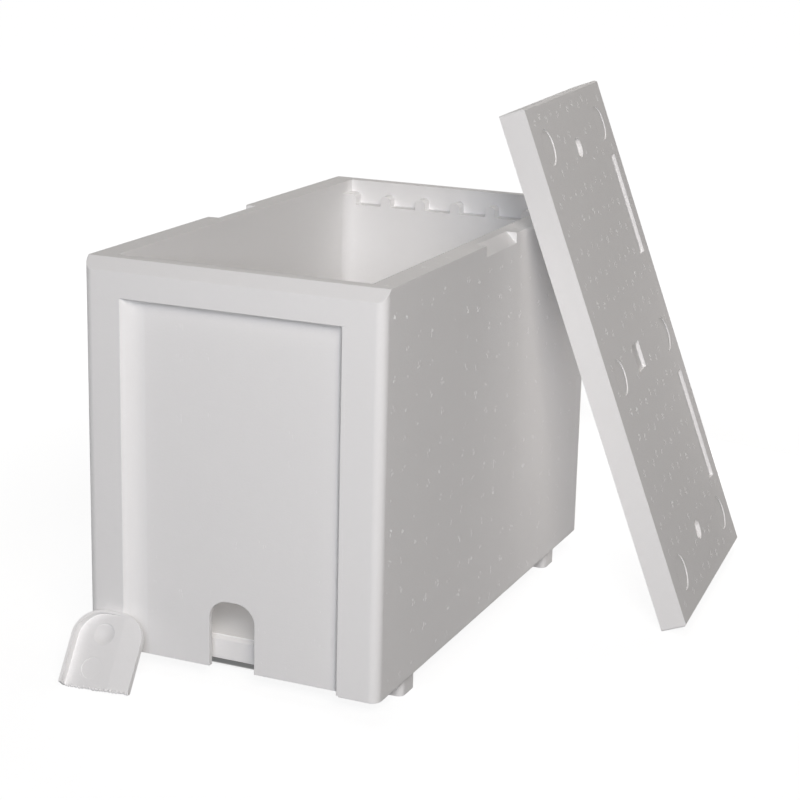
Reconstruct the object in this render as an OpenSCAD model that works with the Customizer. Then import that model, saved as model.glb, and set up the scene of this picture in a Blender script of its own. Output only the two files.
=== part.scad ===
// Nucleus box for honey bees: a moulded foam hive body for six frames, its slab lid taken off
// and leaning on the rim, and the arched closure of its entrance leaning on the front wall.
// Millimetres, +Z up, ground at Z = 0, front wall facing -Y.

/* [Hive body] */
// Outer width across the front wall
box_w = 288; // [250:1:330]
// Outer length from front wall to back wall
box_l = 524; // [480:1:580]
// Height of the walls without the feet
wall_h = 362; // [300:1:420]
// Thickness of the long side walls
side_wall = 22; // [16:0.5:30]
// Thickness of the end walls under the frame rests
end_wall = 35; // [32:0.5:44]
// Thickness of the floor
floor_t = 21; // [16:0.5:30]
// Radius of the upright outer corners
corner_r = 9; // [3:0.5:10]
// Radius of the upright corners of the hive space
inner_r = 12; // [4:0.5:16]

/* [Rim] */
// Run and drop of the bevel along the front and back rim edges
rim_bevel = 10.5; // [10:0.5:14]
// Length of the lifting notch in each side rim
notch_l = 77; // [50:1:120]
// Reach of the lifting notch into the side rim
notch_run = 11; // [6:0.5:15]
// Depth of the lifting notch at the outer face
notch_drop = 10.5; // [6:0.5:16]

/* [Frame rests] */
// Thickness of the end wall outside the frame rest
rest_wall = 22; // [18:0.5:24]
// Depth of the frame rest below the rim
rest_depth = 24.5; // [20:0.5:32]
// Distance from frame to frame
frame_pitch = 40; // [35:0.5:44]
// Width of the spacer tab between two frame lugs
tab_w = 11; // [6:0.5:14]
// Height of the spacer tab above the rest
tab_h = 11.5; // [8:0.5:16]

/* [End panels] */
// Width of the raised border beside the recessed panel
border_w = 36.5; // [25:0.5:50]
// Height of the raised border above the recessed panel
border_top = 33.5; // [20:0.5:50]
// Depth of the recessed panel
panel_depth = 10.5; // [6:0.5:12]
// Run of the panel's sloping side walls
panel_slope = 8; // [2:0.5:14]

/* [Entrance] */
// Width of the arched entrance
entrance_w = 45; // [30:1:60]
// Height of the arched entrance above the walls' lower edge
entrance_h = 63.5; // [50:0.5:80]
// Radius of the entrance's upper corners
entrance_r = 18; // [8:0.5:20]
// Sideways place of the entrance from the middle
entrance_x = -3; // [-20:1:20]
// Thickness of the wall in front of the closure's pocket
mask_t = 5; // [3:0.5:6]
// Depth of the closure's pocket behind that wall
pocket_d = 14.5; // [13.5:0.5:16]
// Run of the slope along the floor's front edge
floor_run = 5; // [2:0.5:8]
// Drop of that slope
floor_drop = 2.5; // [0.5:0.25:4]

/* [Entrance closure] */
// Overlap of the closure beyond the sides of the entrance
closure_lap = 10; // [6:0.5:14]
// Overlap of the closure above the entrance
closure_lap_top = 8; // [5:0.5:12]
// Thickness of the closure at the high rim on its left
closure_t = 12; // [9:0.5:12.5]
// Thickness of the closure's flat right-hand part
closure_thin = 6; // [5:0.5:7]
// Thickness of the dish's floor beside the high rim
dish_floor = 2.5; // [2:0.5:4.5]
// Width of the closure's raised rim
closure_rim = 2.5; // [2:0.5:6]
// Place across the closure where the rim has come down to the flat part
rim_end = 6; // [0:1:10]
// Place across the closure where the dish's floor has come up to the flat part
dish_end = 12; // [11:1:18]
// Sideways play of the closure in its pocket
closure_play = 1; // [0.5:0.25:2]
// Diameter of the round filling marks
fill_d = 20; // [14:1:22]
// Tilt of the closure's filling mark against its back
fill_tilt = 4; // [2:0.5:6]
// Place of that mark across the closure
fill_x = -5; // [-6:1:0]
// Height of that mark above the closure's lower edge
fill_y = 50; // [40:1:54]
// Place of the closure's ejector mark across it
knock_x = -8; // [-14:1:0]
// Height of that mark above the closure's lower edge
knock_y = 18; // [14:1:24]
// Depth of that mark
knock_dip = 0.5; // [0.3:0.1:1]

/* [Feet] */
// Height of the feet
foot_h = 18; // [10:0.5:25]
// Length of a foot along the side wall
foot_l = 29; // [20:1:45]
// Width of a foot
foot_w = 24; // [16:1:36]
// Inset of a foot from the side wall's outer face
foot_inset = 3.5; // [0.5:0.5:8]
// Distance from the box's end to the middle of a foot
foot_from_end = 76.5; // [40:0.5:120]
// Radius of a foot's upright corners
foot_r = 6; // [2:0.5:7]

/* [Lid] */
// Thickness of the lid's slab
lid_t = 25.5; // [18:0.5:32]
// Inset of the lid's long edges from the box's outer faces
lid_inset_side = 5.5; // [0:0.5:10]
// Inset of the lid's ends from the box's outer faces
lid_inset_end = 2; // [0:0.5:8]
// Chamfer across the ends of the lid's top, and radius of its corners in plan
lid_chamfer = 2; // [1:0.5:8]
// Height of the locating lip under the lid
lip_h = 5; // [2:0.5:8]
// Width of the locating lip
lip_w = 12; // [6:0.5:20]
// Play of the locating lip inside the rim, on each side
lip_play = 3; // [1:0.5:6]
// Width of the long recesses in the lid's top
label_w = 18.5; // [10:0.5:24]
// Length of the upper long recess
label_upper_l = 108; // [60:1:130]
// Length of the lower long recess
label_lower_l = 120; // [60:1:130]
// Distance of the upper recess's middle from the lid's middle
label_upper_at = 127.5; // [100:0.5:140]
// Distance of the lower recess's middle from the lid's middle
label_lower_at = 119; // [100:0.5:140]
// Distance of the long recesses from the lid's edge
label_margin = 19; // [10:0.5:30]
// Depth of the recesses in the lid's top
label_dip = 3.5; // [1:0.25:5]
// Side of the small square recess near the middle
plate_side = 27.5; // [15:0.5:40]
// Distance of the square recess across the lid from its middle
plate_across = 18; // [0:0.5:40]
// Distance of the square recess along the lid from its middle
plate_along = 12; // [0:0.5:40]
// Distance of the two filling marks from the lid's middle
fill_along = 204; // [150:1:210]
// Depth of the filling marks in the lid
fill_sink = 4.5; // [1:0.25:6]
// Diameter of the round ejector marks
ejector_d = 36; // [16:1:40]
// Depth of the round ejector marks
ejector_dip = 1; // [0.4:0.1:2]
// Distance of the ejector marks across the lid from its middle
ejector_across = 99; // [60:1:105]
// Distance of the outer ejector marks along the lid from its middle
ejector_along = 217; // [190:1:225]
// Distance of the middle ejector marks along the lid from its middle
ejector_middle = 15; // [0:1:40]

/* [Resting places] */
// Lean of the lid from upright
lid_lean = 20.6; // [15:0.1:30]
// Turn of the lid about the upright axis
lid_turn = 4.4; // [1:0.1:8]
// Reach of the lid's far edge past the box's back face
lid_past = 70.5; // [40:0.5:110]
// Lean of the closure from upright
closure_lean = 39; // [20:0.5:50]
// Turn of the closure about the upright axis
closure_turn = 6.5; // [1:0.5:12]
// Distance of the closure's middle from the box's left face
closure_from_left = 35.5; // [30:0.5:60]
// Clearance left where one piece leans on another
lean_gap = 0.3; // [0.2:0.05:0.6]

/* [Hidden] */
$fn = 96;
foam_white = [0.90, 0.90, 0.88];
// Overshoot of every cut beyond the faces that it opens
over = 1;

// Heights
wall_z = foot_h;
rim_z = foot_h + wall_h;
rest_z = rim_z - rest_depth;

// Hive space and frame rests
inner_w = box_w - 2 * side_wall;
inner_l = box_l - 2 * end_wall;
rest_l = box_l - 2 * rest_wall;
frames = floor(inner_w / frame_pitch);

// Entrance, closure and the closure's pocket, measured from the front face
closure_w = entrance_w + 2 * closure_lap;
closure_h = entrance_h + closure_lap_top;
closure_r = entrance_r + closure_lap_top;
pocket_y = panel_depth + mask_t;
rim_fall = (closure_t - closure_thin) / (rim_end + closure_w / 2);
dish_left = closure_rim - closure_w / 2;
dish_rise = (closure_thin - dish_floor) / (dish_end - dish_left);

// Lid
lid_w = box_w - 2 * lid_inset_side;
lid_l = box_l - 2 * lid_inset_end;
lip_across = inner_w - 2 * lip_play;
lip_along = rest_l - 2 * lip_play;
label_x = lid_w / 2 - label_margin - label_w / 2;

// Directions of the leaning lid: along its length, across its width, out of its top
lid_up = [-sin(lid_lean) * cos(lid_turn), -sin(lid_lean) * sin(lid_turn), cos(lid_lean)];
lid_across = [-sin(lid_turn), cos(lid_turn), 0];
lid_out = [cos(lid_lean) * cos(lid_turn), cos(lid_lean) * sin(lid_turn), sin(lid_lean)];

// The lid's near lower corner, such that its underside just clears the far end of the side rim
lid_y = box_l / 2 + lid_past - lid_w * lid_across[1];
rim_end_y = box_l / 2 - rim_bevel;
slab_reach = (rim_end_y - lid_y) * lid_out[1];
lip_reach = ((lid_w - lip_across) / 2 + lip_w) * lid_out[1] + lip_h;
lid_reach = max(slab_reach, lip_reach) + rim_z * lid_out[2] + lean_gap;
lid_x = box_w / 2 + lid_reach / lid_out[0];

// The middle of the closure's lower back edge, such that its top just clears the front wall
closure_back = cos(closure_turn) * sin(closure_lean);
closure_aside = sin(closure_turn) * sin(closure_lean);
closure_reach = (closure_w / 2 - closure_r) * sin(closure_turn) + (closure_h - closure_r) * closure_back
    + closure_r * norm([sin(closure_turn), closure_back]);
closure_spread = (closure_w / 2 - closure_r) * cos(closure_turn) + (closure_h - closure_r) * closure_aside
    + closure_r * norm([cos(closure_turn), closure_aside]);
closure_x = closure_from_left - box_w / 2;
closure_y = -box_l / 2 - lean_gap - closure_reach;

// Middle of the whole set in plan, which becomes the origin
set_right = lid_x + lid_t * lid_out[0] + lid_chamfer * lid_up[0];
set_back = lid_y + lid_t * lid_out[1] + lid_w * lid_across[1] + lid_chamfer * lid_up[1];
set_front = closure_y - closure_w / 2 * sin(closure_turn) - closure_t * cos(closure_turn) * cos(closure_lean);
set_left = min(-box_w / 2, closure_x - closure_spread);
set_x = (set_right + set_left) / 2;
set_y = (set_back + set_front) / 2;

// Moves a piece from the box's own middle to the middle of the set
module in_set() {
    translate([-set_x, -set_y, 0]) children();
}

// Rectangle about the origin with round corners
module round_rect(w, l, r) {
    square([w - 2 * r, l], center = true);
    square([w, l - 2 * r], center = true);
    for (x = [-1, 1], y = [-1, 1])
        translate([x * (w / 2 - r), y * (l / 2 - r)]) circle(r);
}

// Upright opening with a round top, standing on the origin and reaching below it by down
module arch(w, h, r, down = 0) {
    translate([-w / 2, -down]) square([w, h - r + down]);
    translate([-w / 2 + r, 0]) square([w - 2 * r, h]);
    for (x = [-1, 1])
        translate([x * (w / 2 - r), h - r]) circle(r);
}

// Profile in X and Z, drawn out along Y from y0 to y1
module along_y(y0, y1) {
    translate([0, y1, 0]) rotate([90, 0, 0]) linear_extrude(y1 - y0) children();
}

// Wedge along X that bevels an outer edge at the origin, whose faces point to -Y and +Z
module edge_wedge(length, run, drop) {
    rise = drop / run;
    rotate([90, 0, 90]) linear_extrude(length, center = true)
        polygon([[-over, -drop - over * rise], [run + over, over * rise], [-over, over * rise]]);
}

// Both ends of the box, the second one turned to face backwards
module both_ends() {
    for (turn = [0, 180])
        rotate([0, 0, turn]) children();
}

// Outer block of the walls with its feet
module outer_form() {
    translate([0, 0, wall_z]) linear_extrude(wall_h) round_rect(box_w, box_l, corner_r);
    for (x = [-1, 1], y = [-1, 1])
        translate([x * (box_w / 2 - foot_inset - foot_w / 2), y * (box_l / 2 - foot_from_end), 0])
            linear_extrude(foot_h + over) round_rect(foot_w, foot_l, foot_r);
}

// Hive space between the end walls, above the floor
module hive_space() {
    translate([0, 0, wall_z + floor_t]) linear_extrude(wall_h) round_rect(inner_w, inner_l, inner_r);
}

// Frame rest cut into the end wall
module frame_rest() {
    translate([-inner_w / 2, -rest_l / 2, rest_z])
        cube([inner_w, end_wall - rest_wall + inner_r, rest_depth + over]);
}

// Recessed panel of an end wall, open downwards
module panel_recess() {
    half = box_w / 2 - border_w;
    flare = over * panel_slope / panel_depth;
    inner_half = half - panel_slope;
    translate([0, -box_l / 2, wall_z - over]) linear_extrude(wall_h - border_top + over)
        polygon([[-half - flare, -over], [half + flare, -over],
            [inner_half, panel_depth], [-inner_half, panel_depth]]);
}

// Bevel of an end rim and the lifting notches of the side rims
module rim_cuts() {
    both_ends()
        translate([0, -box_l / 2, rim_z]) edge_wedge(box_w + 2 * over, rim_bevel, rim_bevel);
    for (turn = [90, -90])
        rotate([0, 0, turn]) translate([0, -box_w / 2, rim_z]) edge_wedge(notch_l, notch_run, notch_drop);
}

// Arched way in: the opening in front, the closure's pocket behind it and the way over the floor
module entrance_way() {
    pocket_w = closure_w + 2 * closure_play;
    pocket_h = closure_h + closure_play;
    pocket_r = closure_r + closure_play;
    translate([entrance_x, -box_l / 2, wall_z]) {
        along_y(-over, pocket_y + over) arch(entrance_w, entrance_h, entrance_r, over);
        along_y(pocket_y, pocket_y + pocket_d) arch(pocket_w, pocket_h, pocket_r, over);
        along_y(pocket_y, end_wall + over) intersection() {
            arch(pocket_w, pocket_h, pocket_r);
            translate([-pocket_w / 2, floor_t]) square([pocket_w, pocket_h]);
        }
        translate([0, pocket_y + pocket_d, floor_t]) edge_wedge(pocket_w, floor_run, floor_drop);
    }
}

// Row of round-topped tabs that keep the frames apart on a rest, the first one filled up to the left wall
module spacer_tabs() {
    translate([(tab_w - inner_w) / 2, 0, rest_z])
        along_y(-rest_l / 2 - over, inner_r - inner_l / 2) {
            translate([-tab_w / 2 - over, -over]) square([tab_w / 2 + over, tab_h + over]);
            for (i = [0 : frames])
                translate([i * frame_pitch, 0]) {
                    translate([-tab_w / 2, -over]) square([tab_w, tab_h - tab_w / 2 + over]);
                    translate([0, tab_h - tab_w / 2]) circle(tab_w / 2);
                }
        }
}

// Walls and floor with the two frame rests, still without the hive space
module rest_block() {
    difference() {
        outer_form();
        both_ends() frame_rest();
    }
    spacer_tabs();
    mirror([0, 1, 0]) spacer_tabs();
}

module hive_body() {
    color(foam_white) in_set() difference() {
        rest_block();
        hive_space();
        both_ends() panel_recess();
        rim_cuts();
        entrance_way();
    }
}

// Round mark sunk into the lid's top at a place from the lid's middle
module round_mark(across, along, d, dip) {
    translate([across, along, lid_t - dip]) cylinder(d = d, h = dip + over);
}

// Square-cornered mark sunk into the lid's top
module square_mark(across, along, w, l) {
    translate([across - w / 2, along - l / 2, lid_t - label_dip]) cube([w, l, label_dip + over]);
}

// Lid lying flat about its middle, underside of the slab at Z = 0
module lid_flat() {
    translate([0, 0, -lip_h]) linear_extrude(lip_h + over) difference() {
        round_rect(lip_across, lip_along, inner_r);
        round_rect(lip_across - 2 * lip_w, lip_along - 2 * lip_w, inner_r);
    }
    difference() {
        linear_extrude(lid_t) round_rect(lid_w, lid_l, lid_chamfer);
        both_ends() translate([0, -lid_l / 2, lid_t]) edge_wedge(lid_w + 2 * over, lid_chamfer, lid_chamfer);
        square_mark(label_x, label_upper_at, label_w, label_upper_l);
        square_mark(label_x, -label_lower_at, label_w, label_lower_l);
        square_mark(-plate_across, -plate_along, plate_side, plate_side);
        for (end = [-1, 1])
            round_mark(0, end * fill_along, fill_d, fill_sink);
        for (side = [-1, 1], along = [-ejector_along, -ejector_middle, ejector_along])
            round_mark(side * ejector_across, along, ejector_d, ejector_dip);
    }
}

module lid() {
    color(foam_white) in_set()
        translate([lid_x, lid_y, 0]) rotate([90 - lid_lean, 0, 90 + lid_turn])
            translate([lid_w / 2, lid_l / 2, 0]) lid_flat();
}

// Body of the closure: an arch whose rim is high on the left and comes down to the flat right-hand part
module closure_block() {
    half = closure_w / 2 + over;
    intersection() {
        linear_extrude(closure_t + over) arch(closure_w, closure_h, closure_r);
        along_y(-over, closure_h + over)
            polygon([[-half, -over], [half, -over], [half, closure_thin], [rim_end, closure_thin],
                [-half, closure_t + over * rim_fall]]);
    }
}

// Dish inside the rim, deepest on the left, whose floor rises to the flat part
module closure_dish() {
    far = dish_end + closure_rim;
    top = closure_t + over;
    intersection() {
        linear_extrude(top)
            arch(closure_w - 2 * closure_rim, closure_h - closure_rim, closure_r - closure_rim, over);
        along_y(-2 * over, closure_h)
            polygon([[dish_left - over, dish_floor - over * dish_rise],
                [far, closure_thin + closure_rim * dish_rise], [far, top + over], [dish_left - over, top + over]]);
    }
}

// Round filling mark, level with the dish's floor on its left and sunk on its right
module filling_mark() {
    edge = fill_x - fill_d / 2;
    translate([edge, fill_y, dish_floor + (edge - dish_left) * dish_rise]) rotate([0, fill_tilt, 0])
        translate([fill_d / 2, 0, 0]) cylinder(d = fill_d, h = closure_t);
}

// Shallow round ejector mark, cut to one depth below the dish's floor
module ejector_mark() {
    translate([dish_left, knock_y, dish_floor - knock_dip]) rotate([0, -atan(dish_rise), 0])
        translate([knock_x - dish_left, 0, 0]) cylinder(d = fill_d, h = closure_t);
}

// Closure lying on its back, lower edge on the X axis
module closure_flat() {
    difference() {
        closure_block();
        closure_dish();
        filling_mark();
        ejector_mark();
    }
}

module entrance_closure() {
    color(foam_white) in_set()
        translate([closure_x, closure_y, 0]) rotate([90 - closure_lean, 0, closure_turn]) closure_flat();
}

hive_body();
lid();
entrance_closure();
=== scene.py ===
"""Looks of a white foam nucleus box for bees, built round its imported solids.

The moulded solids keep their shapes and get a bead foam material whose shading softens their edges. Steam
marks, rounded panel corners, beads on broken edges and a line on the floor are added as meshes of their own.
Lengths are in metres.
"""

import math
import random

import bmesh
import bpy
from mathutils import Matrix, Vector
from mathutils.bvhtree import BVHTree


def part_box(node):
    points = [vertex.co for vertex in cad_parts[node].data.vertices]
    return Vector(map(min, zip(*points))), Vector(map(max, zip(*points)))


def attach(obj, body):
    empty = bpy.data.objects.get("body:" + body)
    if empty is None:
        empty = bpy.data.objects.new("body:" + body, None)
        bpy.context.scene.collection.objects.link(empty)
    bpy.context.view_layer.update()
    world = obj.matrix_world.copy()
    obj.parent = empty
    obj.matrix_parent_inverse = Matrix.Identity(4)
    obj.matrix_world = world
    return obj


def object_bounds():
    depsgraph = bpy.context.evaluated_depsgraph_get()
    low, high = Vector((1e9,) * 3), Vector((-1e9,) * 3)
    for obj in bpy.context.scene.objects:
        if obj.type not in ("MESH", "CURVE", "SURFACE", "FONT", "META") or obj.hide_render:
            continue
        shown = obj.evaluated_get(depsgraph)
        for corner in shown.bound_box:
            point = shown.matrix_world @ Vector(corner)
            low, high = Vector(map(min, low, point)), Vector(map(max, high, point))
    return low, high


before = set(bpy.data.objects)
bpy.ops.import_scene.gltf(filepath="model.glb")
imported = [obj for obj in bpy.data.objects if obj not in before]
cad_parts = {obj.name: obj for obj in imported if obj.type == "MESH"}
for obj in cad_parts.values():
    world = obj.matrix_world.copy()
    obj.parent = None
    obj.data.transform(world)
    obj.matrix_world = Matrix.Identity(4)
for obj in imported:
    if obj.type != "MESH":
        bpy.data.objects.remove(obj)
cad_lo, cad_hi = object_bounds()

MM = 0.001
UP = Vector((0, 0, 1))
SEED = 11

# Camera of the photograph: its place from the box's front left corner on the ground, and its direction
CAMERA_FROM_CORNER = Vector((0.93151, -1.44854, 0.72520))
CAMERA_AZIMUTH = math.radians(23.47)
CAMERA_ELEVATION = math.radians(15.37)
CAMERA_ROLL = math.radians(1.376)
SENSOR = 36
LENS = 90.13

# Foam: colours, beads and their seams, clouds and grain of the skin, reach of the pale edges, shaded rounding
FOAM_EDGE = (0.995, 0.993, 0.992, 1)
FOAM_LIGHT = (0.991, 0.987, 0.985, 1)
FOAM_DARK = (0.972, 0.966, 0.963, 1)
BEAD = 3.6 * MM
SEAM_SHARE = 0.16
SEAM_DEPTH, SEAM_STRENGTH = 0.12 * MM, 0.22
GRAIN_DEPTH, GRAIN_STRENGTH = 0.08 * MM, 0.25
CLOUD_SCALE, SKIN_SCALE = 9.0, 700.0
NOISE_RANGE = (0.3, 0.7)
EDGE_REACH = 1.6 * MM
CRISP_ANGLE = math.radians(24)
SHADED_ROUNDING = {"hive_body": 0.9 * MM, "lid": 0.48 * MM, "entrance_closure": 0.4 * MM}
SLOTS = {"hive_body": "body_foam", "lid": "lid_foam", "entrance_closure": "closure_foam"}

# Steam marks: groups of raised, broken slits inside a circle, how far they stray and turn, and their skin
MARK_RADIUS = 4.2 * MM
MARK_SLITS = 4
SLIT_PITCH = 2.0 * MM
SLIT_WIDTH = 0.7 * MM
SLIT_TOP_SHARE = 0.45
SLIT_SUNK = 0.2 * MM
SLIT_LENGTHS = (0.35, 0.9)
MARK_STRAY = 0.6 * MM
MARK_TURN = 0.35
MARK_HEIGHTS = (0.65, 1.0)
ROW_STAGGER = 0.18
MARK_GRAIN_DEPTH, MARK_GRAIN_STRENGTH = 0.05 * MM, 0.2
MARK_CLOUD_SCALE, MARK_SKIN_SCALE = 60.0, 900.0
WALL_PITCH = (27 * MM, 27 * MM)
LID_PITCH = (20 * MM, 27 * MM)
RIM_PITCH = (133 * MM, 27 * MM)

# Recessed end panels: depth, border and slope beside them, lower and upper end; rounded inner corners
PANEL_DEPTH = 10.5 * MM
PANEL_BORDER = 36.5 * MM
PANEL_SLOPE = 8 * MM
PANEL_LOW = 19 * MM
PANEL_HIGH = 346.5 * MM
COVE_REACH = 11 * MM
COVE_STEPS = 12
STEEP_RISE = math.radians(66.5)
STEEP_RADIUS = 5 * MM
STEEP_START = 2.5 * MM
CORNER_LIFT = 0.03 * MM
CORNER_SUNK = 0.5 * MM
CORNER_OVERLAP = 1.5 * MM
CORNER_THICKNESS = 0.3 * MM
# Points of the steep side's upper edge: how far under the border's face and how far back from the slope
STEEP_EDGE = ((0.9 * MM, 0.0), (0.3 * MM, 0.1 * MM), (-CORNER_LIFT, 0.6 * MM))

# Search for plain surface: where it starts above a face, room round a mark, how level and square it has to be
CLEAR = 10 * MM
FAR_CLEAR = 50 * MM
MARK_ROOM = 1.5 * MARK_RADIUS
LEVEL_WITHIN = 0.05 * MM
SQUARE_WITHIN = 0.99

# Beads on broken edges: sizes as shares of the largest, stray as a share of the radius, number and radius
BEAD_SIZES = (0.55, 1.0)
BEAD_STRAY = 0.25
CLOSURE_BEADS, CLOSURE_BEAD_RADIUS = 44, 1.9 * MM
CLOSURE_BEAD_SHARE_OF_HEIGHT = 0.6
CLOSURE_EDGE_UP = 0.4 * MM
CLOSURE_BEAD_IN, CLOSURE_BEAD_DOWN = 0.7 * MM, 0.5 * MM
WALL_BEADS, WALL_BEAD_RADIUS = 36, 1.0 * MM
WALL_BEAD_IN, WALL_BEAD_UP = 0.9 * MM, 0.6 * MM
WALL_END_CLEAR = 12 * MM
FOOT_HEIGHT = 18 * MM

# Filling mark of the closure: its place from the middle of the lower edge, and the hollow seen there
CLOSURE_MARK_ASIDE, CLOSURE_MARK_UP = 5 * MM, 50 * MM
CLOSURE_MARK_RADIUS, CLOSURE_MARK_DEPTH = 9.5 * MM, 2.2 * MM

# Line on the floor's front edge in the entrance
ENTRANCE_ASIDE = -3 * MM
FLOOR_LINE_BACK, FLOOR_LINE_UP = 35 * MM, 38.9 * MM
FLOOR_LINE_RADIUS, FLOOR_LINE_LENGTH = 0.7 * MM, 66 * MM

# Light: a lamp's size as a share of its distance; each lamp's watts, azimuth, elevation, distance and colour
LAMP_SIZE_SHARE = 0.35
LAMPS = {
    "front": (29.5, 20, 20, 3.0, (0.90, 0.93, 1.0)),
    "key": (30.5, 33, 30, 3.0, (1.0, 0.935, 0.87)),
    "left": (20, -95, 8, 3.0, (1.0, 0.99, 0.98)),
    "top": (3.5, 180, 60, 1.4, (1.0, 0.96, 0.92)),
    "behind_lid": (1.05, 168, -8, 0.75, (1.0, 0.95, 0.93)),
}

# Floor: glow near the set and far from it, a painted shadow on the ground under the box, shading and light
# sent back
GLOW_NEAR, GLOW_FAR = 0.88, 1.0
GLOW_FROM, GLOW_TO = 0.5, 1.4
# Painted shadow under the box: glow left there, how far inside the box's sides it starts, and its soft edge
PAINTED_SHADOW_GLOW = 0.15
PAINTED_SHADOW_INSET = Vector((30 * MM, 59 * MM, 0))
PAINTED_SHADOW_BLUR = 3 * MM
FLOOR_SHADE = 0.25
FLOOR_BOUNCE = 0.45
FLOOR_HALF = 20


def add_camera():
    corner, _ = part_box("hive_body")
    forward = Vector((-math.sin(CAMERA_AZIMUTH) * math.cos(CAMERA_ELEVATION),
                      math.cos(CAMERA_AZIMUTH) * math.cos(CAMERA_ELEVATION),
                      -math.sin(CAMERA_ELEVATION)))
    level_right = Vector((math.cos(CAMERA_AZIMUTH), math.sin(CAMERA_AZIMUTH), 0))
    level_up = level_right.cross(forward)
    right = level_right * math.cos(CAMERA_ROLL) + level_up * math.sin(CAMERA_ROLL)
    up = right.cross(forward)
    data = bpy.data.cameras.new("camera")
    data.sensor_width = SENSOR
    data.lens = LENS
    camera = bpy.data.objects.new("camera", data)
    bpy.context.scene.collection.objects.link(camera)
    place = Matrix((right, up, -forward)).transposed().to_4x4()
    place.translation = corner + CAMERA_FROM_CORNER
    camera.matrix_world = place
    bpy.context.scene.camera = camera


class Nodes:
    """Short ways to add and join nodes of one tree."""

    def __init__(self, tree):
        self.tree = tree
        tree.nodes.clear()

    def add(self, kind, inputs=None, **settings):
        made = self.tree.nodes.new(kind)
        for name, value in settings.items():
            setattr(made, name, value)
        for name, value in (inputs or {}).items():
            socket = made.inputs[name]
            if isinstance(value, bpy.types.NodeSocket):
                self.tree.links.new(value, socket)
            else:
                socket.default_value = value
        return made

    def math(self, operation, first, second):
        return self.add("ShaderNodeMath", {0: first, 1: second}, operation=operation).outputs[0]

    def spread(self, value, low, high, to_low=0.0, to_high=1.0):
        inputs = {"Value": value, "From Min": low, "From Max": high, "To Min": to_low, "To Max": to_high}
        return self.add("ShaderNodeMapRange", inputs).outputs[0]

    def mix(self, share, first, second):
        return self.add("ShaderNodeMix", {0: share, 6: first, 7: second}, data_type="RGBA").outputs[2]

    def seen(self):
        """1 for rays that show a surface itself, in view or mirrored, 0 for rays that carry its light."""
        path = self.add("ShaderNodeLightPath").outputs
        mirrored = self.math("MAXIMUM", path["Is Glossy Ray"], path["Is Transmission Ray"])
        return self.math("MAXIMUM", path["Is Camera Ray"], mirrored)


def foam(name, shaded_rounding=None, dimple=None):
    """Fused bead foam: faint seams, beads of slightly different whites, cloudy skin and paler worn edges.

    A shaded rounding softens the look of edges that stay sharp in the mesh. A dimple, given by its middle,
    radius and depth, hollows the look of a flat place.
    """
    material = bpy.data.materials.new(name)
    material.use_nodes = True
    n = Nodes(material.node_tree)
    place = n.add("ShaderNodeTexCoord").outputs["Object"]
    cells = n.add("ShaderNodeTexVoronoi", {"Vector": place, "Scale": 1 / BEAD})
    seams = n.add("ShaderNodeTexVoronoi", {"Vector": place, "Scale": 1 / BEAD}, feature="DISTANCE_TO_EDGE")
    clouds = n.add("ShaderNodeTexNoise", {"Vector": place, "Scale": CLOUD_SCALE, "Detail": 4.0})
    skin = n.add("ShaderNodeTexNoise", {"Vector": place, "Scale": SKIN_SCALE, "Detail": 3.0})
    soft = n.add("ShaderNodeBevel", {"Radius": EDGE_REACH}, samples=4).outputs[0]
    plain = n.add("ShaderNodeNewGeometry").outputs["Normal"]
    turned = n.add("ShaderNodeVectorMath", {0: soft, 1: plain}, operation="DOT_PRODUCT").outputs["Value"]
    edge = n.spread(turned, 0.995, 0.85, 0.0, 0.8)

    bead_tone = n.add("ShaderNodeSeparateColor", {"Color": cells.outputs["Color"]}).outputs[0]
    tone = n.math("ADD", n.spread(bead_tone, 0.0, 1.0, 0.20, 0.42),
                  n.spread(clouds.outputs["Fac"], *NOISE_RANGE, 0.0, 0.35))
    plain_colour = n.mix(tone, FOAM_DARK, FOAM_LIGHT)
    colour = n.mix(edge, plain_colour, FOAM_EDGE)

    normal = {}
    if shaded_rounding:
        rounded = n.add("ShaderNodeBevel", {"Radius": shaded_rounding}, samples=6)
        normal = {"Normal": rounded.outputs[0]}
    if dimple:
        middle, radius, depth = dimple
        away = n.add("ShaderNodeVectorMath", {0: place, 1: middle}, operation="DISTANCE").outputs["Value"]
        share = n.math("MINIMUM", n.math("DIVIDE", away, radius), 1.0)
        height = n.math("MULTIPLY", n.math("POWER", share, 2.0), depth)
        bowl = n.add("ShaderNodeBump", {"Height": height, "Strength": 1.0, "Distance": 1.0, **normal})
        normal = {"Normal": bowl.outputs[0]}
    seam = n.spread(seams.outputs["Distance"], 0.0, SEAM_SHARE)
    beads = n.add("ShaderNodeBump", {"Height": seam, "Strength": SEAM_STRENGTH,
                                     "Distance": SEAM_DEPTH, **normal})
    grain = n.add("ShaderNodeBump", {"Height": skin.outputs["Fac"], "Strength": GRAIN_STRENGTH,
                                     "Distance": GRAIN_DEPTH, "Normal": beads.outputs[0]})
    rough = n.spread(skin.outputs["Fac"], *NOISE_RANGE, 0.70, 0.88)
    shader = n.add("ShaderNodeBsdfPrincipled", {"Base Color": colour, "Roughness": rough,
                                                "Specular IOR Level": 0.3, "Normal": grain.outputs[0]})
    n.add("ShaderNodeOutputMaterial", {"Surface": shader.outputs[0]})
    return material


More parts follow.
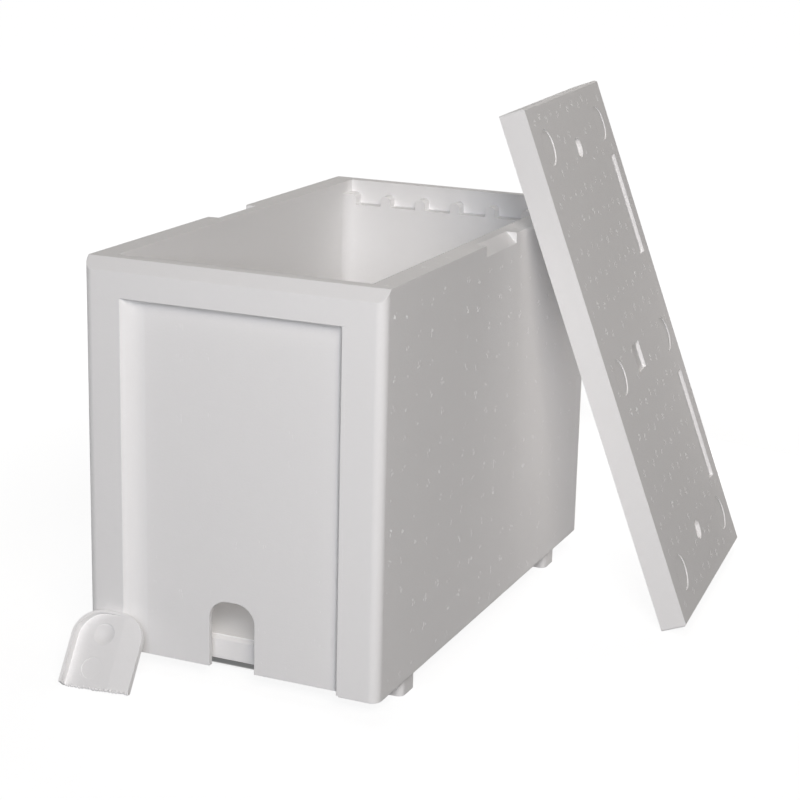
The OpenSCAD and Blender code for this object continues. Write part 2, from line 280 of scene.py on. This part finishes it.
def mark_foam(name):
    """Skin of the steam marks: the same white, a little smoother and paler than the beads round it."""
    material = bpy.data.materials.new(name)
    material.use_nodes = True
    n = Nodes(material.node_tree)
    place = n.add("ShaderNodeTexCoord").outputs["Object"]
    clouds = n.add("ShaderNodeTexNoise", {"Vector": place, "Scale": MARK_CLOUD_SCALE, "Detail": 3.0})
    skin = n.add("ShaderNodeTexNoise", {"Vector": place, "Scale": MARK_SKIN_SCALE, "Detail": 2.0})
    colour = n.mix(n.spread(clouds.outputs["Fac"], *NOISE_RANGE, 0.4, 1.0), FOAM_DARK, FOAM_LIGHT)
    grain = n.add("ShaderNodeBump", {"Height": skin.outputs["Fac"], "Strength": MARK_GRAIN_STRENGTH,
                                     "Distance": MARK_GRAIN_DEPTH})
    rough = n.spread(skin.outputs["Fac"], *NOISE_RANGE, 0.55, 0.75)
    shader = n.add("ShaderNodeBsdfPrincipled", {"Base Color": colour, "Roughness": rough,
                                                "Specular IOR Level": 0.35, "Normal": grain.outputs[0]})
    n.add("ShaderNodeOutputMaterial", {"Surface": shader.outputs[0]})
    return material


def soften(name, material):
    """Gives the solid its foam, whose shaded rounding softens the look of its crisp edges."""
    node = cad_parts[name]
    node.data.materials.clear()
    node.data.materials.append(material)
    node.modifiers.new("crisp", "EDGE_SPLIT").split_angle = CRISP_ANGLE


class Face:
    """A flat face of a node: middle, directions across and along, outward direction and half sizes."""

    def __init__(self, node, across, along, out):
        points = [v.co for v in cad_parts[node].data.vertices]
        self.node = node
        self.across, self.along, self.out = across, along, out
        axes = (across, along, out)
        spans = [(min(p.dot(a) for p in points), max(p.dot(a) for p in points)) for a in axes]
        self.middle = sum((a * (lo + hi) / 2 for a, (lo, hi) in zip(axes, spans)), Vector())
        self.half_across, self.half_along, self.half_out = ((hi - lo) / 2 for lo, hi in spans)


def leaning_face(node, hint):
    """Face of a leaning piece: the side with the largest area that looks towards the hint."""
    areas = {}
    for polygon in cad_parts[node].data.polygons:
        key = tuple(round(x, 2) for x in polygon.normal)
        total, normal = areas.get(key, (0.0, polygon.normal.copy()))
        areas[key] = (total + polygon.area, normal)
    facing = [value for value in areas.values() if value[1].dot(hint) > 0]
    out = max(facing, key=lambda value: value[0])[1]
    across = UP.cross(out).normalized()
    return Face(node, across, out.cross(across), out)


def trees():
    """Search trees of the solids, to find where a mark has plain surface under it."""
    found = {}
    for name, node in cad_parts.items():
        points = [v.co for v in node.data.vertices]
        found[name] = BVHTree.FromPolygons(points, [p.vertices for p in node.data.polygons])
    return found


TREES = trees()


def surface(face, u, v, start):
    """Height along the face's outward direction where a ray from start meets the solid, or None."""
    origin = face.middle + face.across * u + face.along * v + face.out * start
    spot, normal, _, _ = TREES[face.node].ray_cast(origin, -face.out)
    if spot is None or normal.dot(face.out) < SQUARE_WITHIN:
        return None
    return (spot - face.middle).dot(face.out)


def plain_there(face, u, v, start, level):
    """True if the solid is flat and at that level under a whole mark."""
    for du, dv in ((0, 0), (MARK_ROOM, 0), (-MARK_ROOM, 0), (0, MARK_ROOM), (0, -MARK_ROOM)):
        height = surface(face, u + du, v + dv, start)
        if height is None or abs(height - level) > LEVEL_WITHIN:
            return False
    return True


def add_slit(mesh, centre, run, side, out, half_length, half_width, height):
    """One raised slit: a bar with sloping sides, sunk a little into the surface."""
    corners = []
    for level, share in ((-SLIT_SUNK, 1.0), (height, SLIT_TOP_SHARE)):
        for a, b in ((-1, -1), (1, -1), (1, 1), (-1, 1)):
            reach = half_length - half_width * (1 - share)
            corner = centre + run * a * reach + side * b * half_width * share + out * level
            corners.append(mesh.verts.new(corner))
    for ring in ((3, 2, 1, 0), (4, 5, 6, 7), (0, 1, 5, 4), (1, 2, 6, 5), (2, 3, 7, 6), (3, 0, 4, 7)):
        mesh.faces.new([corners[i] for i in ring])


def mesh_piece(name, body, mesh, material):
    """Turns a built mesh into a piece with the given material that rides on a body."""
    data = bpy.data.meshes.new(name)
    mesh.to_mesh(data)
    mesh.free()
    data.materials.append(material)
    piece = bpy.data.objects.new(name, data)
    bpy.context.scene.collection.objects.link(piece)
    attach(piece, body)


def dice(seed):
    return random.Random(SEED * 1000 + seed)


def steam_marks(name, body, face, level, pitch, height, share, kept, material, seed):
    """Grid of steam marks on one flat face, left out where it isn't plain.

    share is the share of marks that show, and kept the share of slits that show in a mark.
    """
    draw = dice(seed)
    start = face.half_out + CLEAR
    mesh = bmesh.new()
    pitch_u, pitch_v = pitch
    count_u = int(face.half_across / pitch_u)
    count_v = int(face.half_along / pitch_v)
    for j in range(-count_v, count_v + 1):
        for i in range(-count_u, count_u + 1):
            u = i * pitch_u + draw.uniform(-MARK_STRAY, MARK_STRAY)
            v = (j + ROW_STAGGER * (i % 2)) * pitch_v + draw.uniform(-MARK_STRAY, MARK_STRAY)
            turn = math.pi / 2 + draw.uniform(-MARK_TURN, MARK_TURN)
            strength = draw.uniform(*MARK_HEIGHTS)
            shown = draw.random() < share
            if not shown or not plain_there(face, u, v, start, level):
                continue
            centre = face.middle + face.across * u + face.along * v + face.out * level
            run = face.across * math.cos(turn) + face.along * math.sin(turn)
            side = face.out.cross(run)
            for k in range(MARK_SLITS):
                offset = (k - (MARK_SLITS - 1) / 2) * SLIT_PITCH
                half = math.sqrt(MARK_RADIUS ** 2 - offset ** 2)
                for way in (-1, 1):
                    if draw.random() > kept:
                        continue
                    length = half * draw.uniform(*SLIT_LENGTHS)
                    spot = centre + side * offset + run * way * half / 2
                    add_slit(mesh, spot, run, side, face.out, length / 2, SLIT_WIDTH / 2, height * strength)
    mesh_piece(name, body, mesh, material)


def edge_beads(name, body, spots, material, seed):
    """Single beads that stand out of a broken edge; a spot is a point and the largest radius there."""
    draw = dice(seed)
    mesh = bmesh.new()
    for spot, largest in spots:
        radius = largest * draw.uniform(*BEAD_SIZES)
        place = spot + Vector([draw.uniform(-1, 1) for _ in range(3)]) * BEAD_STRAY * radius
        low, high = place - Vector((radius,) * 3), place + Vector((radius,) * 3)
        if any(a < b for a, b in zip(low, cad_lo)) or any(a > b for a, b in zip(high, cad_hi)):
            continue
        bmesh.ops.create_icosphere(mesh, subdivisions=2, radius=radius, matrix=Matrix.Translation(place))
    for polygon in mesh.faces:
        polygon.smooth = True
    mesh_piece(name, body, mesh, material)


def closure_edge_spots():
    """Points along the lower front edge of the leaning closure."""
    draw = random.Random(SEED)
    back = leaning_face("entrance_closure", Vector((0, 1, 0)))
    spots = []
    for i in range(CLOSURE_BEADS):
        u = ((i + draw.uniform(0.1, 0.9)) / CLOSURE_BEADS * 2 - 1) * back.half_across
        low = back.middle + back.across * u - back.along * (back.half_along - CLOSURE_EDGE_UP)
        spot, _, _, _ = TREES["entrance_closure"].ray_cast(low - back.out * FAR_CLEAR, back.out)
        if spot is not None:
            largest = min(CLOSURE_BEAD_RADIUS, CLOSURE_BEAD_SHARE_OF_HEIGHT * spot.z)
            spots.append((spot + back.out * CLOSURE_BEAD_IN - back.along * CLOSURE_BEAD_DOWN, largest))
    return spots


def closure_mark_middle():
    """Middle of the round filling mark on the front of the leaning closure."""
    back = leaning_face("entrance_closure", Vector((0, 1, 0)))
    spot = back.middle + back.across * CLOSURE_MARK_ASIDE + back.along * (CLOSURE_MARK_UP - back.half_along)
    return TREES["entrance_closure"].ray_cast(spot - back.out * FAR_CLEAR, back.out)[0]


def cove_profile(foot, rise):
    """Hollow corner that runs from the panel's floor into its sloping side."""
    radius = COVE_REACH / math.tan(rise / 2)
    angles = [rise * i / COVE_STEPS for i in range(COVE_STEPS + 1)]
    shown = [(foot - COVE_REACH + radius * math.sin(a), radius * (1 - math.cos(a))) for a in angles]
    return shown, [(foot + CORNER_SUNK, -CORNER_SUNK)]


def steep_profile(foot):
    """Hollow corner that runs from the panel's floor up a steep side to the border's face."""
    start = foot - STEEP_START
    angles = [STEEP_RISE * i / COVE_STEPS for i in range(COVE_STEPS + 1)]
    shown = [(start + STEEP_RADIUS * math.sin(a), STEEP_RADIUS * (1 - math.cos(a))) for a in angles]
    turn, height = shown[-1]
    for under, back in STEEP_EDGE:
        level = PANEL_DEPTH - under
        shown.append((turn + (level - height) / math.tan(STEEP_RISE) + back, level))
    edge = foot + PANEL_SLOPE + CORNER_OVERLAP
    return shown, [(edge, PANEL_DEPTH + CORNER_LIFT), (edge, PANEL_DEPTH - CORNER_THICKNESS),
                   (foot + CORNER_SUNK, -CORNER_SUNK)]


def panel_corner(name, end, side, material):
    """Rounded inner corner beside the recessed panel of an end wall; end and side are -1 or 1."""
    low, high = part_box("hive_body")
    middle, half = (low + high) / 2, (high - low) / 2
    foot = half.x - PANEL_BORDER - PANEL_SLOPE
    rise = math.atan2(PANEL_DEPTH, PANEL_SLOPE)
    shown, hidden = steep_profile(foot) if side > 0 else cove_profile(foot, rise)
    profile = shown + hidden
    mesh = bmesh.new()
    rings = []
    for z in (low.z + PANEL_LOW, low.z + PANEL_HIGH):
        rings.append([mesh.verts.new((middle.x + side * a, middle.y + end * (half.y - PANEL_DEPTH + b), z))
                      for a, b in profile])
    count = len(profile)
    for i in range(count):
        j = (i + 1) % count
        polygon = mesh.faces.new((rings[0][i], rings[0][j], rings[1][j], rings[1][i]))
        polygon.smooth = i < len(shown) - 1
    mesh.faces.new(rings[0][::-1])
    mesh.faces.new(rings[1])
    bmesh.ops.recalc_face_normals(mesh, faces=mesh.faces)
    for edge in mesh.edges:
        edge.smooth = all(polygon.smooth for polygon in edge.link_faces)
    mesh_piece(name, "box", mesh, material)


def floor_line(material):
    """Fine raised line along the front edge of the floor in the entrance, a round bar sunk into the edge."""
    low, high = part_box("hive_body")
    middle = Vector(((low.x + high.x) / 2 + ENTRANCE_ASIDE, low.y + FLOOR_LINE_BACK, low.z + FLOOR_LINE_UP))
    mesh = bmesh.new()
    lie = Matrix.Translation(middle) @ Matrix.Rotation(math.pi / 2, 4, "Y")
    bmesh.ops.create_cone(mesh, cap_ends=True, segments=12, radius1=FLOOR_LINE_RADIUS,
                          radius2=FLOOR_LINE_RADIUS, depth=FLOOR_LINE_LENGTH, matrix=lie)
    mesh_piece("floor_line", "box", mesh, material)


def wall_edge_spots():
    """Points along the lower edge of the right-hand wall."""
    draw = random.Random(SEED + 1)
    low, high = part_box("hive_body")
    x, z = high.x - WALL_BEAD_IN, low.z + FOOT_HEIGHT + WALL_BEAD_UP
    places = [draw.uniform(low.y + WALL_END_CLEAR, high.y - WALL_END_CLEAR) for _ in range(WALL_BEADS)]
    return [(Vector((x, y, z)), WALL_BEAD_RADIUS) for y in places]


def add_light():
    """White surroundings that are only seen and light nothing, and the lamps."""
    world = bpy.data.worlds.new("studio")
    bpy.context.scene.world = world
    world.use_nodes = True
    n = Nodes(world.node_tree)
    dark = n.add("ShaderNodeBackground", {"Color": (0, 0, 0, 1), "Strength": 1.0}).outputs[0]
    white = n.add("ShaderNodeBackground", {"Color": (1, 1, 1, 1), "Strength": 1.0}).outputs[0]
    mixed = n.add("ShaderNodeMixShader", {0: n.seen(), 1: dark, 2: white}).outputs[0]
    n.add("ShaderNodeOutputWorld", {"Surface": mixed})

    for name, (watts, azimuth, elevation, distance, colour) in LAMPS.items():
        turn, above = math.radians(azimuth), math.radians(elevation)
        level = math.cos(above)
        away = Vector((math.sin(turn) * level, -math.cos(turn) * level, math.sin(above)))
        data = bpy.data.lights.new(name, "AREA")
        data.energy = watts
        data.color = colour
        data.size = LAMP_SIZE_SHARE * distance
        lamp = bpy.data.objects.new(name, data)
        bpy.context.scene.collection.objects.link(lamp)
        lamp.location = (cad_lo + cad_hi) / 2 + away * distance
        lamp.rotation_euler = away.to_track_quat("Z", "Y").to_euler()
        lamp.visible_camera = False


def add_floor():
    """White ground: bright in view, faintly shaded by the set, with a painted shadow where the set covers it
    closely.
    """
    material = bpy.data.materials.new("studio_floor")
    material.use_nodes = True
    n = Nodes(material.node_tree)
    place = n.add("ShaderNodeTexCoord").outputs["Object"]
    away = n.add("ShaderNodeVectorMath", {0: place}, operation="LENGTH").outputs["Value"]
    glow = n.spread(away, GLOW_FROM, GLOW_TO, GLOW_NEAR, GLOW_FAR)
    low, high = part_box("hive_body")
    half = (high - low) / 2 - PAINTED_SHADOW_INSET
    middle = (low + high) / 2
    from_box = n.add("ShaderNodeVectorMath", {0: place, 1: middle}, operation="SUBTRACT").outputs[0]
    spans = n.add("ShaderNodeVectorMath", {0: from_box}, operation="ABSOLUTE").outputs[0]
    span = n.add("ShaderNodeSeparateXYZ", {0: spans}).outputs
    # Painted shadow: the glow is dimmed inside the box's footprint, drawn in from its sides, whatever the
    # lamps do
    beyond_painted_shadow = n.math("MAXIMUM", n.math("SUBTRACT", span[0], half.x), n.math("SUBTRACT", span[1], half.y))
    glow = n.math("MULTIPLY", glow, n.spread(beyond_painted_shadow, 0.0, PAINTED_SHADOW_BLUR, PAINTED_SHADOW_GLOW, 1.0))
    shade = n.add("ShaderNodeBsdfDiffuse", {"Color": (*[FLOOR_SHADE] * 3, 1)}).outputs[0]
    lit = n.add("ShaderNodeEmission", {"Color": (1, 1, 1, 1), "Strength": glow}).outputs[0]
    seen = n.add("ShaderNodeAddShader", {0: shade, 1: lit}).outputs[0]
    bounce = n.add("ShaderNodeBsdfDiffuse", {"Color": (*[FLOOR_BOUNCE] * 3, 1)}).outputs[0]
    mixed = n.add("ShaderNodeMixShader", {0: n.seen(), 1: bounce, 2: seen}).outputs[0]
    n.add("ShaderNodeOutputMaterial", {"Surface": mixed})
    data = bpy.data.meshes.new("floor")
    corners = [(a * FLOOR_HALF, b * FLOOR_HALF, 0) for a, b in ((-1, -1), (1, -1), (1, 1), (-1, 1))]
    data.from_pydata(corners, [], [(0, 1, 2, 3)])
    data.materials.append(material)
    floor = bpy.data.objects.new("floor", data)
    bpy.context.scene.collection.objects.link(floor)


add_camera()
add_light()
add_floor()
bpy.context.scene.view_settings.view_transform = "Standard"

dimples = {"entrance_closure": (closure_mark_middle(), CLOSURE_MARK_RADIUS, CLOSURE_MARK_DEPTH)}
foams = {name: foam(slot, SHADED_ROUNDING[name], dimples.get(name)) for name, slot in SLOTS.items()}
added_foam = foam("added_foam")
for name, material in foams.items():
    soften(name, material)

right = Face("hive_body", Vector((0, 1, 0)), UP, Vector((1, 0, 0)))
left = Face("hive_body", Vector((0, -1, 0)), UP, Vector((-1, 0, 0)))
front = Face("hive_body", Vector((1, 0, 0)), UP, Vector((0, -1, 0)))
back = Face("hive_body", Vector((-1, 0, 0)), UP, Vector((0, 1, 0)))
rim = Face("hive_body", Vector((1, 0, 0)), Vector((0, 1, 0)), UP)
lid_top = leaning_face("lid", Vector((1, 0, 0)))

mark_skin = mark_foam("steam_marks")
steam_marks("right_marks", "box", right, right.half_out, WALL_PITCH, height=0.2 * MM, share=0.9, kept=0.28,
            material=mark_skin, seed=0)
steam_marks("left_marks", "box", left, left.half_out, WALL_PITCH, height=0.09 * MM, share=0.9, kept=0.3,
            material=mark_skin, seed=1)
for seed, (name, face) in enumerate((("front_marks", front), ("back_marks", back)), 2):
    steam_marks(name, "box", face, face.half_out - PANEL_DEPTH, WALL_PITCH, height=0.12 * MM, share=0.4,
                kept=0.25, material=mark_skin, seed=seed)
steam_marks("rim_marks", "box", rim, rim.half_out, RIM_PITCH, height=0.2 * MM, share=0.8, kept=0.4,
            material=mark_skin, seed=7)
steam_marks("lid_marks", "lid", lid_top, lid_top.half_out, LID_PITCH, height=0.15 * MM, share=0.95, kept=0.55,
            material=mark_skin, seed=4)
edge_beads("closure_edge_beads", "closure", closure_edge_spots(), added_foam, 5)
floor_line(mark_skin)
for end, end_name in ((-1, "front"), (1, "back")):
    for side, side_name in ((-1, "left"), (1, "right")):
        panel_corner(f"{end_name}_corner_{side_name}", end, side, added_foam)
edge_beads("wall_edge_beads", "box", wall_edge_spots(), added_foam, 6)
